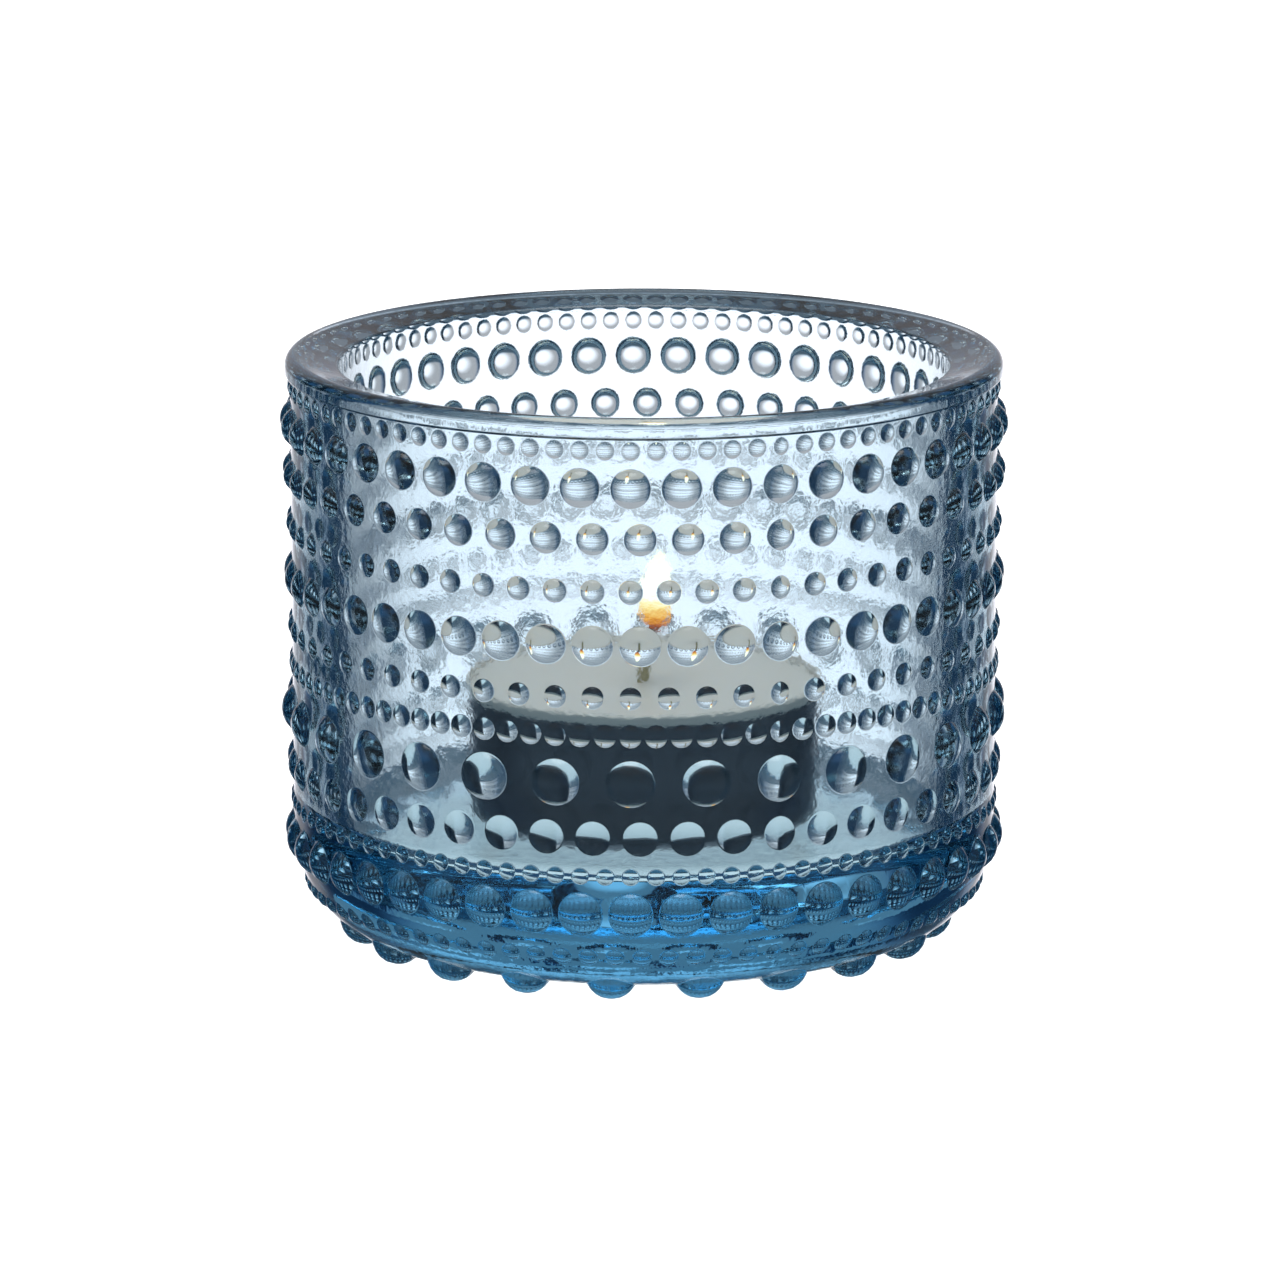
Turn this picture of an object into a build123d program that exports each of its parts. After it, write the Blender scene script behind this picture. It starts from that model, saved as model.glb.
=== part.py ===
from build123d import *
from math import atan2, cos, degrees, radians, sin, sqrt
import os

# A tealight holder pressed in one piece of glass, covered in rows of small glass beads, with a
# tealight standing in it. Millimetres. The origin is the centre of the footprint, at the height
# of the foot beads' tips. +Z is up and the front is towards -Y.

# Driving dimensions of the glass
holder_height = 63.9
wall_radius = 38.2  # outside of the wall between the beads
rim_radius = 38.8  # the smooth band round the rim stands slightly proud of the wall
mouth_radius = 32.9  # inside of the wall at the rim
floor_radius = 32.4  # inside of the wall at the floor: the bowl is drafted to leave its plunger
floor_height = 13.2  # the base is a thick slab of glass
floor_corner = 2.0
underside_height = 1.4  # only the foot beads reach down to zero
base_round_width = 8.0  # the outside rounds into the underside over an elliptical quarter
base_round_height = 11.0

# The rim
rim_crown_radius = 1.2  # rounding of the rim's outer top edge
rim_band_height = 2.0  # from the ledge under the band up to the top of the rim
rim_ledge_height = 0.4  # the ledge slopes out from the wall to the band over this height
rim_fall = 14.0  # the top of the rim falls towards the mouth at this angle
lip_round = 0.6

# Beads. The mould opens along a seam that runs through one bead of every row on the side.
seam_angle = -68.1
# Each row, from the rim down: number of beads, height, width on the wall, rise off the wall
side_rows = [
    (90, 60.5, 2.0, 0.35),
    (45, 56.5, 4.15, 1.2),
    (48, 51.1, 3.35, 0.95),
    (60, 45.5, 2.5, 0.6),
    (48, 39.75, 4.2, 0.9),
    (60, 34.2, 2.4, 0.5),
    (90, 30.1, 2.4, 0.4),
    (30, 25.0, 5.1, 1.25),
    (48, 19.1, 3.6, 0.7),
    (90, 15.0, 1.8, 0.3),
    (45, 10.8, 4.5, 1.05),
    (81, 5.8, 2.0, 0.45),
]
foot_count = 21
foot_ring_radius = 31.2
foot_ball_radius = 2.9
foot_first_angle = -79.2
foot_wear = 0.05  # how much of each tip is worn flat

# The tealight
cup_height = 15.1
cup_lip_radius = 19.5  # outside of the rolled lip
cup_wall_radius = 19.2  # outside of the wall under the lip
cup_base_radius = 19.0
cup_sheet = 0.3  # thickness of the metal
cup_lip_width = 0.6  # the sheet's top is rolled outwards into a flattened bead
cup_lip_height = 1.2
cup_lip_round = 0.28
cup_corner = 1.0
cup_base_recess_radius = 15.5
cup_base_recess = 0.4  # the middle of the cup's base is pressed up by this much
wax_gap = 0.15  # set wax shrinks away from the cup
wax_top_drop = 0.4  # wax level below the cup's lip
wax_dish_radius = 7.0
wax_dish_depth = 0.5  # the wax is hollowed round the wick
sustainer_radius = 6.0
sustainer_sheet = 0.3
neck_radius = 1.6
neck_height = 4.0
wick_radius = 0.7
wick_straight = 16.5  # length of the upright stretch of the wick
wick_bend_radius = 4.0
wick_bend_angle = 38.0
wick_tip = 1.3  # straight end beyond the bend
fit_gap = 0.05  # clearance between the wick's parts and the wax round them

os.makedirs("parts", exist_ok=True)


def base_round_angle(height):
    """Angle round the base's elliptical quarter: 0 at the wall, 90 degrees at the underside."""
    above = underside_height + base_round_height - height
    if above <= 0:
        return 0.0
    return atan2(above / base_round_height, sqrt(1 - (above / base_round_height) ** 2))


def side_point(height):
    """Radius of the outside at this height, and how far its outward normal dips in degrees."""
    angle = base_round_angle(height)
    radius = wall_radius - base_round_width * (1 - cos(angle))
    dip = atan2(base_round_width * sin(angle), base_round_height * cos(angle))
    return radius, degrees(dip)


def ball_radius(width, rise):
    """Radius of the ball whose cap has this width and rise."""
    return ((width / 2) ** 2 + rise**2) / (2 * rise)


# The glass: one revolved bowl with every bead pressed on it
with BuildPart() as glass_holder:
    with BuildSketch(Plane.XZ):
        with BuildLine():
            Line((0, floor_height), (0, underside_height))
            Line((0, underside_height), (wall_radius - base_round_width, underside_height))
            base_round = EllipticalCenterArc(
                (wall_radius - base_round_width, underside_height + base_round_height),
                base_round_width,
                base_round_height,
                start_angle=-90,
                arc_size=90,
            )
            ledge_height = holder_height - rim_band_height
            wall = Line(base_round @ 1, (wall_radius, ledge_height - rim_ledge_height))
            ledge = Line(wall @ 1, (rim_radius, ledge_height))
            Line(ledge @ 1, (rim_radius, holder_height - rim_crown_radius))
            crown = CenterArc(
                (rim_radius - rim_crown_radius, holder_height - rim_crown_radius),
                rim_crown_radius,
                0,
                90 + rim_fall,
            )
            top_width = (crown @ 1).X - mouth_radius - lip_round * (1 - sin(radians(rim_fall)))
            top_drop = top_width * sin(radians(rim_fall)) / cos(radians(rim_fall))
            top_face = Line(crown @ 1, crown @ 1 - Vector(top_width, top_drop))
            lip = CenterArc(
                (
                    mouth_radius + lip_round,
                    (top_face @ 1).Y - lip_round * cos(radians(rim_fall)),
                ),
                lip_round,
                90 + rim_fall,
                90 - rim_fall,
            )
            Line(lip @ 1, (floor_radius, floor_height + floor_corner))
            CenterArc(
                (floor_radius - floor_corner, floor_height + floor_corner),
                floor_corner,
                0,
                -90,
            )
            Line((floor_radius - floor_corner, floor_height), (0, floor_height))
        make_face()
    revolve(axis=Axis.Z)

    for count, height, width, rise in side_rows:
        ball = ball_radius(width, rise)
        radius, dip = side_point(height)
        inset = ball - rise
        ball_centre = (
            radius - inset * cos(radians(dip)),
            0,
            height + inset * sin(radians(dip)),
        )
        with PolarLocations(0, count, start_angle=seam_angle):
            with Locations(ball_centre):
                # The ball's poles lie along the radius, so its edge on the wall is one clean loop
                Sphere(ball, rotation=(0, 90, 0))

    with PolarLocations(foot_ring_radius, foot_count, start_angle=foot_first_angle):
        with Locations((0, 0, foot_ball_radius - foot_wear)):
            Sphere(foot_ball_radius)
    split(bisect_by=Plane.XY, keep=Keep.TOP)
glass_holder.part.label = "glass_holder"

# The tealight's cup: thin drawn metal with a rolled lip and a base pressed up in the middle
cup_bottom = floor_height
cup_top = cup_bottom + cup_height
with BuildPart() as tealight_cup:
    with BuildSketch(Plane.XZ):
        with BuildLine():
            FilletPolyline(
                (0, cup_bottom + cup_base_recess),
                (cup_base_recess_radius, cup_bottom + cup_base_recess),
                (cup_base_recess_radius + cup_base_recess, cup_bottom),
                (cup_base_radius, cup_bottom),
                (cup_wall_radius, cup_top - cup_lip_height / 2),
                radius=[cup_sheet, cup_sheet, cup_corner],
            )
            FilletPolyline(
                (0, cup_bottom + cup_base_recess + cup_sheet),
                (cup_base_recess_radius, cup_bottom + cup_base_recess + cup_sheet),
                (cup_base_recess_radius + cup_base_recess, cup_bottom + cup_sheet),
                (cup_base_radius - cup_sheet, cup_bottom + cup_sheet),
                (cup_wall_radius - cup_sheet, cup_top - cup_lip_height / 2),
                radius=[cup_sheet, cup_sheet, cup_corner - cup_sheet],
            )
            Line(
                (0, cup_bottom + cup_base_recess),
                (0, cup_bottom + cup_base_recess + cup_sheet),
            )
            Line(
                (cup_wall_radius, cup_top - cup_lip_height / 2),
                (cup_wall_radius - cup_sheet, cup_top - cup_lip_height / 2),
            )
        make_face()
        with Locations((cup_lip_radius - cup_lip_width / 2, cup_top - cup_lip_height / 2)):
            RectangleRounded(cup_lip_width, cup_lip_height, cup_lip_round)
    revolve(axis=Axis.Z)
tealight_cup.part.label = "tealight_cup"

# The wick's sustainer: a stamped disc with a crimped neck
disc_bottom = cup_bottom + cup_base_recess + cup_sheet + fit_gap
neck_top = disc_bottom + sustainer_sheet + neck_height
with BuildPart() as wick_sustainer:
    with BuildSketch(Plane.XY.offset(disc_bottom)):
        Circle(sustainer_radius)
    extrude(amount=sustainer_sheet)
    with BuildSketch(Plane.XY.offset(disc_bottom + sustainer_sheet)):
        Circle(neck_radius)
    extrude(amount=neck_height)
    fillet(
        wick_sustainer.edges().filter_by(GeomType.CIRCLE).group_by(Axis.Z)[1].sort_by(SortBy.RADIUS)[0],
        radius=sustainer_sheet,
    )
    with BuildSketch(Plane.XY.offset(disc_bottom + sustainer_sheet)):
        Circle(wick_radius)
    extrude(amount=neck_height, mode=Mode.SUBTRACT)
wick_sustainer.part.label = "wick_sustainer"

# The wick: upright from the sustainer's neck, its tip bent over to the right
wick_bottom = disc_bottom + sustainer_sheet
with BuildPart() as wick:
    with BuildLine() as wick_path:
        upright = Line((0, 0, wick_bottom), (0, 0, wick_bottom + wick_straight))
        bend_side = wick_bend_radius * (1 - cos(radians(wick_bend_angle)))
        bend_rise = wick_bend_radius * sin(radians(wick_bend_angle))
        bend = TangentArc(
            upright @ 1,
            upright @ 1 + Vector(bend_side, 0, bend_rise),
            tangent=(0, 0, 1),
        )
        Line(bend @ 1, bend @ 1 + (bend % 1) * wick_tip)
    with BuildSketch(Plane.XY.offset(wick_bottom)):
        Circle(wick_radius)
    sweep(path=wick_path.line)
wick.part.label = "wick"

# The wax: cast in the cup round the wick and its sustainer
wax_bottom = cup_bottom + cup_base_recess + cup_sheet + fit_gap
wax_top = cup_top - wax_top_drop
wax_radius = cup_wall_radius - cup_sheet - wax_gap
wax_base_radius = cup_base_radius - cup_sheet - wax_gap
with BuildPart() as wax:
    with BuildSketch(Plane.XZ):
        with BuildLine():
            dish_side = (wax_dish_radius, wax_top)
            dish = TangentArc((0, wax_top - wax_dish_depth), dish_side, tangent=(1, 0))
            FilletPolyline(
                dish_side,
                (wax_radius, wax_top),
                (wax_base_radius, wax_bottom),
                (0, wax_bottom),
                radius=[cup_sheet, cup_corner],
            )
            Line((0, wax_bottom), dish @ 0)
        make_face()
    revolve(axis=Axis.Z)
    with BuildSketch(Plane.XY.offset(wax_bottom)):
        Circle(sustainer_radius + fit_gap)
    extrude(amount=sustainer_sheet + 2 * fit_gap, mode=Mode.SUBTRACT)
    with BuildSketch(Plane.XY.offset(wax_bottom)):
        Circle(neck_radius + sustainer_sheet + fit_gap)
    extrude(amount=neck_top + fit_gap - wax_bottom, mode=Mode.SUBTRACT)
    with BuildSketch(Plane.XY.offset(wax_bottom)):
        Circle(wick_radius + fit_gap)
    extrude(amount=cup_height, mode=Mode.SUBTRACT)
wax.part.label = "wax"

for piece in (glass_holder, tealight_cup, wax, wick_sustainer, wick):
    export_step(piece.part, f"parts/{piece.part.label}.step", write_pcurves=False)
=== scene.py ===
from math import acos, asin, atan2, cos, degrees, pi, radians, sin, sqrt, tan

import bpy
import numpy as np
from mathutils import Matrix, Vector


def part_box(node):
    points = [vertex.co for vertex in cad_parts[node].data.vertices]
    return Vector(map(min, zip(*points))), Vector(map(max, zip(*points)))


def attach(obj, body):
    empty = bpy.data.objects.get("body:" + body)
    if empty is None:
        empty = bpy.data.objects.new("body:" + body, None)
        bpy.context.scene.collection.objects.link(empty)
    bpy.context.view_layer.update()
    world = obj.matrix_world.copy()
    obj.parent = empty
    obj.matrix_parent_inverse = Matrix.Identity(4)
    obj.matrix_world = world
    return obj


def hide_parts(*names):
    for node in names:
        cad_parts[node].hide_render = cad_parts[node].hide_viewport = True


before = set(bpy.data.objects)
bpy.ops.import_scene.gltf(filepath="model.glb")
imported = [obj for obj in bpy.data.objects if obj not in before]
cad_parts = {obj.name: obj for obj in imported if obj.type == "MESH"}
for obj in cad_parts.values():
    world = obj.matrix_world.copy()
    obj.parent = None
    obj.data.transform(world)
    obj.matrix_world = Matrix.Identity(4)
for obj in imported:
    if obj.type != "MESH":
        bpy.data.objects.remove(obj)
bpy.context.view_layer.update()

# A tealight holder of pale blue pressed glass with rows of beads, and the lit tealight in it.
# Metres. +Z is up and the camera stands towards -Y.

MM = 0.001
TURN = 2 * pi
_glass_low, glass_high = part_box("glass_holder")
cup_low, cup_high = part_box("tealight_cup")
wax_low, wax_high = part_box("wax")
wick_low, wick_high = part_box("wick")
holder_height = glass_high[2]
floor_height = cup_low[2]  # the tealight stands on the bowl's floor


# ------------------------------------------------------------------ camera

CAMERA_DISTANCE = 0.90705
CAMERA_ELEVATION = radians(12.72)
CAMERA_LENS = 233.1  # mm
SENSOR_WIDTH = 36  # mm
CLIP_START = 0.05
AIM_HEIGHT = holder_height * 0.492

camera_data = bpy.data.cameras.new("camera")
camera_data.lens = CAMERA_LENS
camera_data.sensor_width = SENSOR_WIDTH
camera_data.clip_start = CLIP_START
camera = bpy.data.objects.new("camera", camera_data)
camera.location = (
    0,
    -CAMERA_DISTANCE * cos(CAMERA_ELEVATION),
    AIM_HEIGHT + CAMERA_DISTANCE * sin(CAMERA_ELEVATION),
)
camera.rotation_euler = (pi / 2 - CAMERA_ELEVATION, 0, 0)
bpy.context.scene.collection.objects.link(camera)
bpy.context.scene.camera = camera
bpy.context.scene.view_settings.view_transform = "Standard"
bpy.context.scene.view_settings.look = "None"


# ------------------------------------------------------------------ mesh helpers


def new_object(name, vertices, faces, normals=None):
    """A smooth-shaded mesh object, with its own normals where they are given."""
    mesh = bpy.data.meshes.new(name)
    mesh.from_pydata([tuple(v) for v in vertices], [], faces)
    mesh.validate()
    mesh.update()
    mesh.shade_smooth()
    if normals is not None:
        corners = np.empty(len(mesh.loops), dtype=np.int32)
        mesh.loops.foreach_get("vertex_index", corners)
        wanted = np.asarray(normals)[corners]
        mesh.normals_split_custom_set([tuple(n) for n in wanted])
    obj = bpy.data.objects.new(name, mesh)
    bpy.context.scene.collection.objects.link(obj)
    return obj


def arc(centre, radius, start, end, count):
    """Points of an arc in the (radius, height) plane, angles in degrees from +radius."""
    angles = np.radians(np.linspace(start, end, count))
    return np.stack([centre[0] + radius * np.cos(angles), centre[1] + radius * np.sin(angles)], 1)


def profile_normals(profile):
    """Unit normals to the right of a profile's direction of travel, which is its outside."""
    ahead = np.gradient(profile, axis=0)
    normals = np.stack([ahead[:, 1], -ahead[:, 0]], 1)
    return normals / np.linalg.norm(normals, axis=1)[:, None]


class Builder:
    """Collects vertices, their normals and faces."""

    def __init__(self):
        self.points = []
        self.normals = []
        self.faces = []

    def add(self, points, normals):
        """Adds vertices and returns their numbers."""
        first = sum(len(p) for p in self.points)
        self.points.append(np.asarray(points, float).reshape(-1, 3))
        self.normals.append(np.asarray(normals, float).reshape(-1, 3))
        return np.arange(first, first + len(self.points[-1]))

    def add_point(self, point, normal):
        """Adds one vertex and returns its number."""
        return self.add([tuple(point)], [tuple(normal)])[0]

    def ring(self, radius, height, normal, angles):
        """A horizontal ring round the axis. The normal is (outward, upward)."""
        cosines, sines = np.cos(angles), np.sin(angles)
        level = np.ones(len(angles))
        points = np.stack([radius * cosines, radius * sines, height * level], 1)
        normals = np.stack([normal[0] * cosines, normal[0] * sines, normal[1] * level], 1)
        return self.add(points, normals)

    def bridge(self, lower, upper):
        """Quads between two closed rings of as many vertices."""
        for i in range(len(lower)):
            j = (i + 1) % len(lower)
            self.faces.append((int(lower[i]), int(lower[j]), int(upper[j]), int(upper[i])))

    def fan(self, ring, tip, flip=False):
        """Triangles from a closed ring to one vertex."""
        for i in range(len(ring)):
            j = (i + 1) % len(ring)
            face = (int(ring[i]), int(ring[j]), int(tip))
            self.faces.append(face[::-1] if flip else face)

    def close(self, rings, bottom, top):
        """A closed skin from one vertex up over the rings to another."""
        self.fan(rings[0], bottom, flip=True)
        for lower, upper in zip(rings, rings[1:]):
            self.bridge(lower, upper)
        self.fan(rings[-1], top)

    def zip(self, lower, lower_angles, upper, upper_angles):
        """Triangles between two rings of different counts, matched by angle."""
        offset = (upper_angles - lower_angles[0] + pi) % TURN - pi
        start = int(np.argmin(np.abs(offset)))
        upper = np.roll(upper, -start)
        low = [a - lower_angles[0] for a in lower_angles] + [TURN]
        high = [offset[start] + TURN / len(upper) * k for k in range(len(upper) + 1)]
        i = j = 0
        while i < len(lower) or j < len(upper):
            first = int(lower[i % len(lower)])
            last = int(upper[j % len(upper)])
            if j == len(upper) or (i < len(lower) and low[i + 1] <= high[j + 1]):
                self.faces.append((first, int(lower[(i + 1) % len(lower)]), last))
                i += 1
            else:
                self.faces.append((first, int(upper[(j + 1) % len(upper)]), last))
                j += 1

    def object(self, name):
        """The finished object."""
        points = np.concatenate(self.points)
        normals = np.concatenate(self.normals)
        return new_object(name, points, self.faces, normals)


def lathe(profile, segments=192):
    """A closed solid of revolution from an open profile that starts and ends on the axis."""
    build = Builder()
    normals = profile_normals(profile)
    angles = np.linspace(0, TURN, segments, endpoint=False)
    bottom = build.add_point((0, 0, profile[0][1]), (0, 0, -1))
    top = build.add_point((0, 0, profile[-1][1]), (0, 0, 1))
    rings = [build.ring(r, z, n, angles) for (r, z), n in zip(profile[1:-1], normals[1:-1])]
    build.close(rings, bottom, top)
    return build


# ------------------------------------------------------------------ the glass holder

WALL_RADIUS = 38.2 * MM
RIM_RADIUS = 38.8 * MM
MOUTH_RADIUS = 32.9 * MM
FLOOR_RADIUS = 32.4 * MM
FLOOR_CORNER = 2.0 * MM
UNDERSIDE = 1.4 * MM
BASE_ROUND_WIDTH = 8.0 * MM
BASE_ROUND_HEIGHT = 11.0 * MM
RIM_CROWN = 1.2 * MM
RIM_BAND = 2.0 * MM
RIM_LEDGE = 0.4 * MM
RIM_FALL = radians(14)  # the top of the rim falls towards the mouth
LIP_ROUND = 0.6 * MM
SEAM_ANGLE = radians(-68.1)
SEAM_COUNT = 3
SEAM_PINCH = 0.16 * MM  # the mould's leaves close a little into the beads on their seams

# From the rim down: count, height, width, rise (mm), and the segments across and up one cell
BEAD_ROWS = [
    (90, 60.5, 2.0, 0.35, 4, 4),
    (45, 56.5, 4.15, 1.2, 8, 6),
    (48, 51.1, 3.35, 0.95, 6, 6),
    (60, 45.5, 2.5, 0.6, 6, 4),
    (48, 39.75, 4.2, 0.9, 8, 6),
    (60, 34.2, 2.4, 0.5, 6, 4),
    (90, 30.1, 2.4, 0.4, 4, 4),
    (30, 25.0, 5.1, 1.25, 12, 6),
    (48, 19.1, 3.6, 0.7, 6, 6),
    (90, 15.0, 1.8, 0.3, 4, 4),
    (45, 10.8, 4.5, 1.05, 8, 6),
    (81, 5.8, 2.0, 0.45, 4, 4),
]
TOP_ROW_MARGIN = 0.14 * MM  # plain wall above and below the top row, close under the rim
ROW_MARGIN = 0.3 * MM  # and above and below the others
LARGE_BEAD = 3 * MM  # a wider bead is made of more rings
LARGE_BEAD_RINGS = 3
SMALL_BEAD_RINGS = 2
FOOT_COUNT = 21
FOOT_RING = 31.2 * MM
FOOT_BALL = 2.9 * MM
FOOT_WEAR = 0.05 * MM
FOOT_FIRST = radians(-79.2)
FOOT_MARGIN = 0.5 * MM  # plain underside between the feet and the inner edge of their band
FOOT_BAND_REACH = 1.2 * MM  # the band's outer edge lies this far beyond the feet
FOOT_BAND_TOP = 3.4 * MM
FOOT_CELL = (12, 8)  # segments across and up
FOOT_RINGS = 5
UNDERSIDE_SHARES = (0.85, 0.55, 0.25)  # where the flat underside's rings lie
ROOT_FILLET = 0.1 * MM  # the pressed beads meet the wall in a small hollow, not a knife edge
CREASE_FILL = 0.2 * ROOT_FILLET
LAST_RING_GAP = 0.35  # ring spacings left between a bead's last even ring and its end
SEAM_CLEARANCE = 1.5  # a pinched bead's first ring stays this many pinches off its tip
ROOT_SEARCH = (0.6, 1.5)  # a bead's root is looked for between these shares of the guess
ROOT_FURTHEST = pi * 0.62
ROOT_HALVINGS = 40

# The outside is walked by q: below 0 on the flat underside, then round the base, then up the wall
ROUND_LENGTH = (BASE_ROUND_WIDTH + BASE_ROUND_HEIGHT) / 2 * pi / 2
FLAT_RADIUS = WALL_RADIUS - BASE_ROUND_WIDTH
WALL_START = UNDERSIDE + BASE_ROUND_HEIGHT


def outside(q):
    """Radius, height and outward normal of the bowl's outside at q."""
    q = np.asarray(q, float)
    t = np.clip(q / ROUND_LENGTH, 0, 1) * pi / 2
    radius = FLAT_RADIUS + np.minimum(q, 0) + BASE_ROUND_WIDTH * np.sin(t)
    height = WALL_START - BASE_ROUND_HEIGHT * np.cos(t) + np.maximum(q - ROUND_LENGTH, 0)
    out = BASE_ROUND_HEIGHT * np.sin(t)
    up = -BASE_ROUND_WIDTH * np.cos(t)
    size = np.hypot(out, up)
    return radius, height, out / size, up / size


def outside_place(radius, height):
    """q of a point near the outside."""
    across = (radius - FLAT_RADIUS) / BASE_ROUND_WIDTH
    down = (WALL_START - height) / BASE_ROUND_HEIGHT
    q = np.arctan2(across, down) / (pi / 2) * ROUND_LENGTH
    q = np.where(radius < FLAT_RADIUS, radius - FLAT_RADIUS, q)
    return np.where(height > WALL_START, ROUND_LENGTH + height - WALL_START, q)


def outside_gap(radius, height):
    """Below zero inside the bowl's outline, above zero outside it."""
    across = (radius - FLAT_RADIUS) / BASE_ROUND_WIDTH
    down = (WALL_START - height) / BASE_ROUND_HEIGHT
    return np.hypot(np.maximum(across, 0), np.maximum(down, 0)) - 1


def radius_and_height(points):
    """Distance from the axis, and height, of each point."""
    return np.hypot(points[:, 0], points[:, 1]), points[:, 2]


def wall_points(q, angles):
    """Points and normals of the bowl's plain outside."""
    radius, height, out, up = outside(q)
    points = np.stack([radius * np.cos(angles), radius * np.sin(angles), height + 0 * angles], 1)
    normals = np.stack([out * np.cos(angles), out * np.sin(angles), up + 0 * angles], 1)
    return points, normals


def cell_turns(across, up):
    """Evenly spread angles round a bead, one for each vertex on the border of its cell."""
    total = 2 * (across + up)
    return np.arange(total) * TURN / total


def bead_axes(angle, dip):
    """Outward, sideways and rising axes of a bead on the outside."""
    radial = np.array([cos(angle), sin(angle), 0])
    sideways = np.array([-sin(angle), cos(angle), 0])
    outward = radial * cos(dip) + np.array([0, 0, -sin(dip)])
    rising = radial * sin(dip) + np.array([0, 0, cos(dip)])
    return outward, sideways, rising


def ball_points(centre, axes, ball, dips, turns, pinch=0):
    """Points and normals on a ball: dips from its outward axis, turned round it.

    A pinched ball is two halves, each moved across the seam by the pinch and cut off there.
    """
    outward, sideways, rising = axes
    reach = ball * np.sin(dips)
    w = ball * np.cos(dips)
    if pinch:
        side = np.sign(np.cos(turns).round(9))
        v = np.sqrt(np.maximum(reach**2 - pinch**2, 0)) * np.sin(turns)
        u = side * (np.sqrt(np.maximum(reach**2 - v**2, 0)) - pinch)
        tilt = u + side * pinch
    else:
        v = reach * np.sin(turns)
        u = reach * np.cos(turns)
        tilt = u
    points = centre + w[:, None] * outward + u[:, None] * sideways + v[:, None] * rising
    normals = (w[:, None] * outward + tilt[:, None] * sideways + v[:, None] * rising) / ball
    return points, normals


def root_dips(centre, axes, ball, turns, guess):
    """How far round the ball its surface meets the bowl, by halving, for each turn angle."""
    low = np.full(len(turns), guess * ROOT_SEARCH[0])
    high = np.full(len(turns), min(guess * ROOT_SEARCH[1], ROOT_FURTHEST))
    for _ in range(ROOT_HALVINGS):
        middle = (low + high) / 2
        points, _normals = ball_points(centre, axes, ball, middle, turns)
        inside = outside_gap(*radius_and_height(points)) < 0
        high = np.where(inside, middle, high)
        low = np.where(inside, low, middle)
    return (low + high) / 2


def bead_cap(build, centre, axes, ball, ends, turns, pinch, wear, count):
    """A bead's tip and its rings, the last one where the hollow at its root begins."""
    tip_points, tip_normals = ball_points(centre, axes, ball, np.zeros(1), np.zeros(1))
    if pinch:
        tip_points = centre + axes[0] * sqrt(ball**2 - pinch**2)
    if wear:
        tip_points = tip_points * np.array([1, 1, 0])
    tip = build.add(tip_points, tip_normals)[0]
    first_dip = asin(pinch * SEAM_CLEARANCE / ball)
    rings = []
    for k in range(1, count + 1):
        dips = np.maximum(k / (count + LAST_RING_GAP) * ends, first_dip)
        if wear and k == 1:
            dips = np.full(len(turns), acos(1 - wear / ball))
        points, normals = ball_points(centre, axes, ball, dips, turns, pinch)
        if wear:
            points[:, 2] = np.maximum(points[:, 2], 0)
        rings.append(build.add(points, normals))
    rings.append(build.add(*ball_points(centre, axes, ball, ends, turns, pinch)))
    return tip, rings


def bead_root(build, centre, axes, ball, roots, turns, pinch, angle, guess):
    """The crease where a bead meets the wall, and the ring where the plain wall begins."""
    points, normals = ball_points(centre, axes, ball, roots, turns, pinch)
    crease_q = outside_place(*radius_and_height(points))
    crease_angles = np.arctan2(points[:, 1], points[:, 0])
    _points, wall_normals = wall_points(crease_q, crease_angles)
    mean = normals + wall_normals
    mean /= np.linalg.norm(mean, axis=1)[:, None]
    crease = build.add(points + mean * CREASE_FILL, mean)
    spread = 1 + ROOT_FILLET / (ball * sin(float(roots.mean())))
    under = centre + axes[0] * ball * cos(guess)
    middle_q = outside_place(np.hypot(under[0], under[1]), under[2])
    turned = (crease_angles - angle + pi) % TURN - pi
    wall_q = middle_q + (crease_q - middle_q) * spread
    return crease, build.add(*wall_points(wall_q, angle + turned * spread))


def cell_border(low_ring, high_ring, columns, i, across, up):
    """A bead's cell, anticlockwise from the middle of its right-hand side."""
    ahead = (i + 1) % len(columns)
    right = [low_ring[ahead * across], *columns[ahead], high_ring[ahead * across]]
    left = [low_ring[i * across], *columns[i], high_ring[i * across]]
    top = [high_ring[i * across + a] for a in range(across - 1, 0, -1)]
    bottom = [low_ring[i * across + a] for a in range(1, across)]
    return np.array(right[up // 2:] + top + left[::-1] + bottom + right[:up // 2])


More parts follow.
